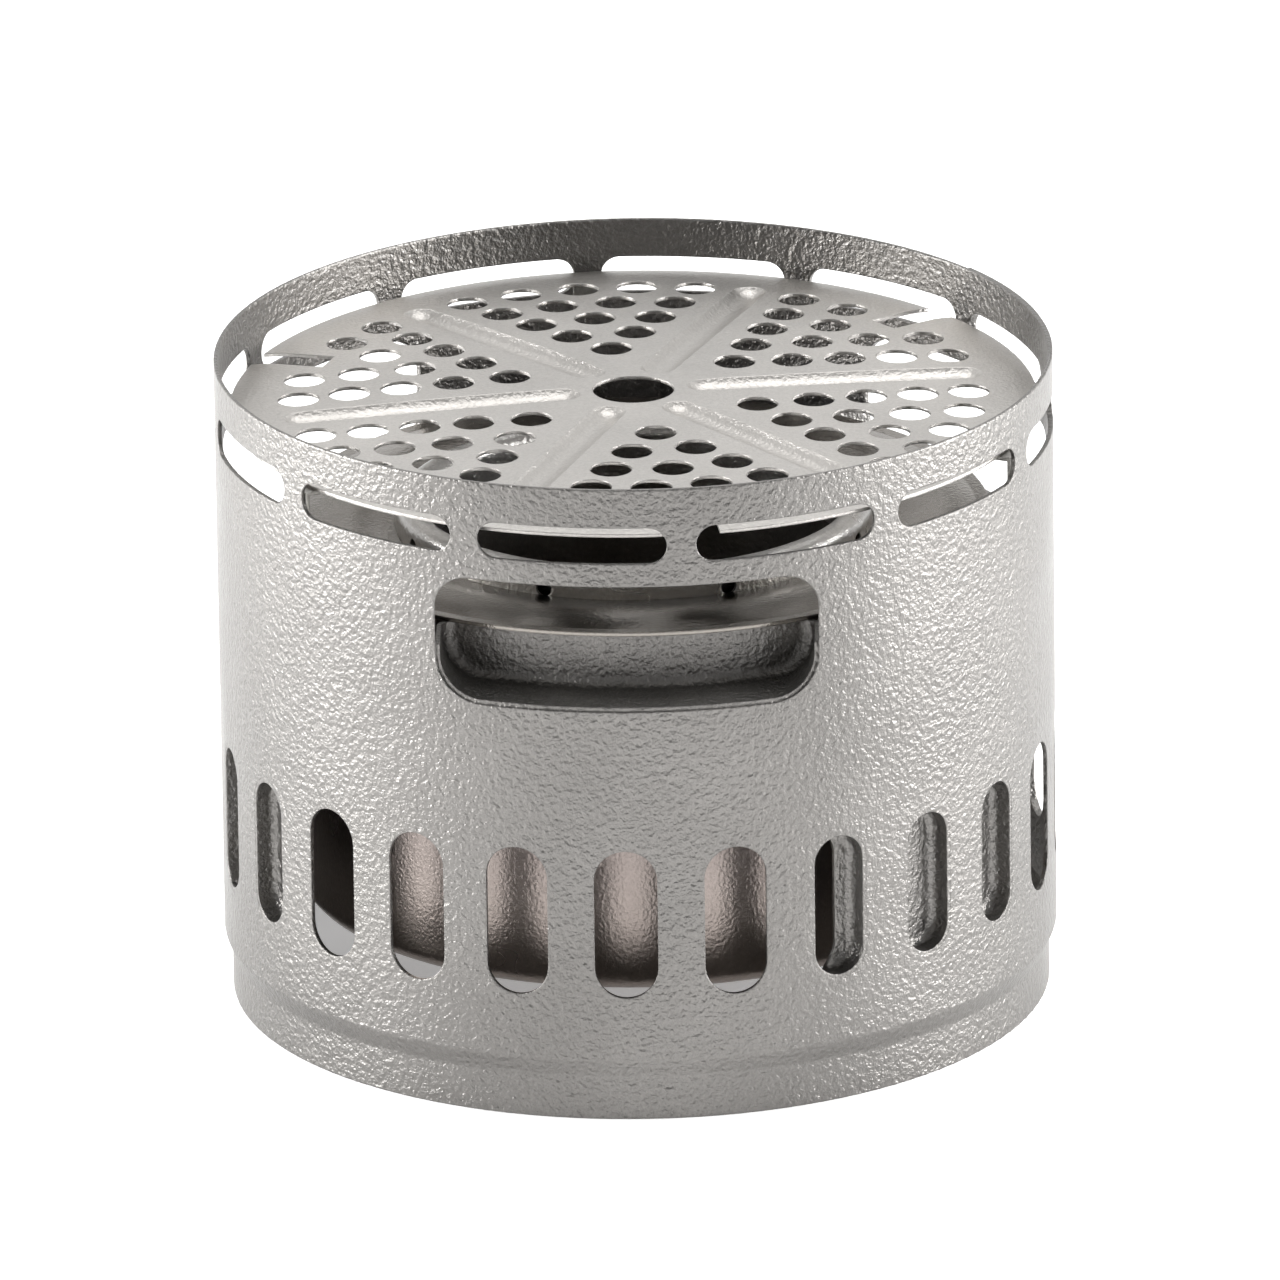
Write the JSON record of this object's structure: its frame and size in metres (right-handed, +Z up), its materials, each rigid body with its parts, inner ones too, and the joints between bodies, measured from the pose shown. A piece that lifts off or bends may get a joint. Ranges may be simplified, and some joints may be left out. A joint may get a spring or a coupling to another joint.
{
  "type": "spirit stove",
  "caption": "Round spirit stove: vented thin sheet windshield with a perforated ribbed top plate and a lift-out open jet burner hung inside.",
  "frame": {"origin": "centre of the foot ring, on the surface the stove stands on", "axes": "+Z up along the stove's axis; -Y is the front, where one window pocket faces; +X to the right"},
  "size_m": [0.096, 0.096, 0.0763],
  "materials": {
    "wall_titanium": "sandblasted titanium",
    "lug_titanium": "satin titanium",
    "plate_titanium": "fine blasted titanium",
    "cup_titanium": "satin titanium, lightly heat tinted",
    "shoulder_titanium": "polished titanium",
    "crown_titanium": "fine blasted titanium",
    "liner_titanium": "satin titanium"
  },
  "bodies": {
    "stand": {"windshield": "wall_titanium", "plate_rest_lug_1": "lug_titanium", "plate_rest_lug_2": "lug_titanium", "plate_rest_lug_3": "lug_titanium"},
    "plate": {"perforated_plate": "plate_titanium"},
    "burner": {"burner_cup": "cup_titanium", "burner_shoulder": "shoulder_titanium", "burner_jet_crown": "crown_titanium", "burner_liner": "liner_titanium"}
  },
  "joints": [
    {"name": "plate_lift", "type": "slide", "parent": "stand", "child": "plate", "axis": [0, 0, 1], "range_m": [0, 0.09]},
    {"name": "burner_lift", "type": "slide", "parent": "stand", "child": "burner", "axis": [0, 0, 1], "range_m": [0, 0.0765]}
  ],
  "couplings": [
    {"joint": "burner_lift", "follows": "plate_lift", "ratio": 0.85}
  ]
}
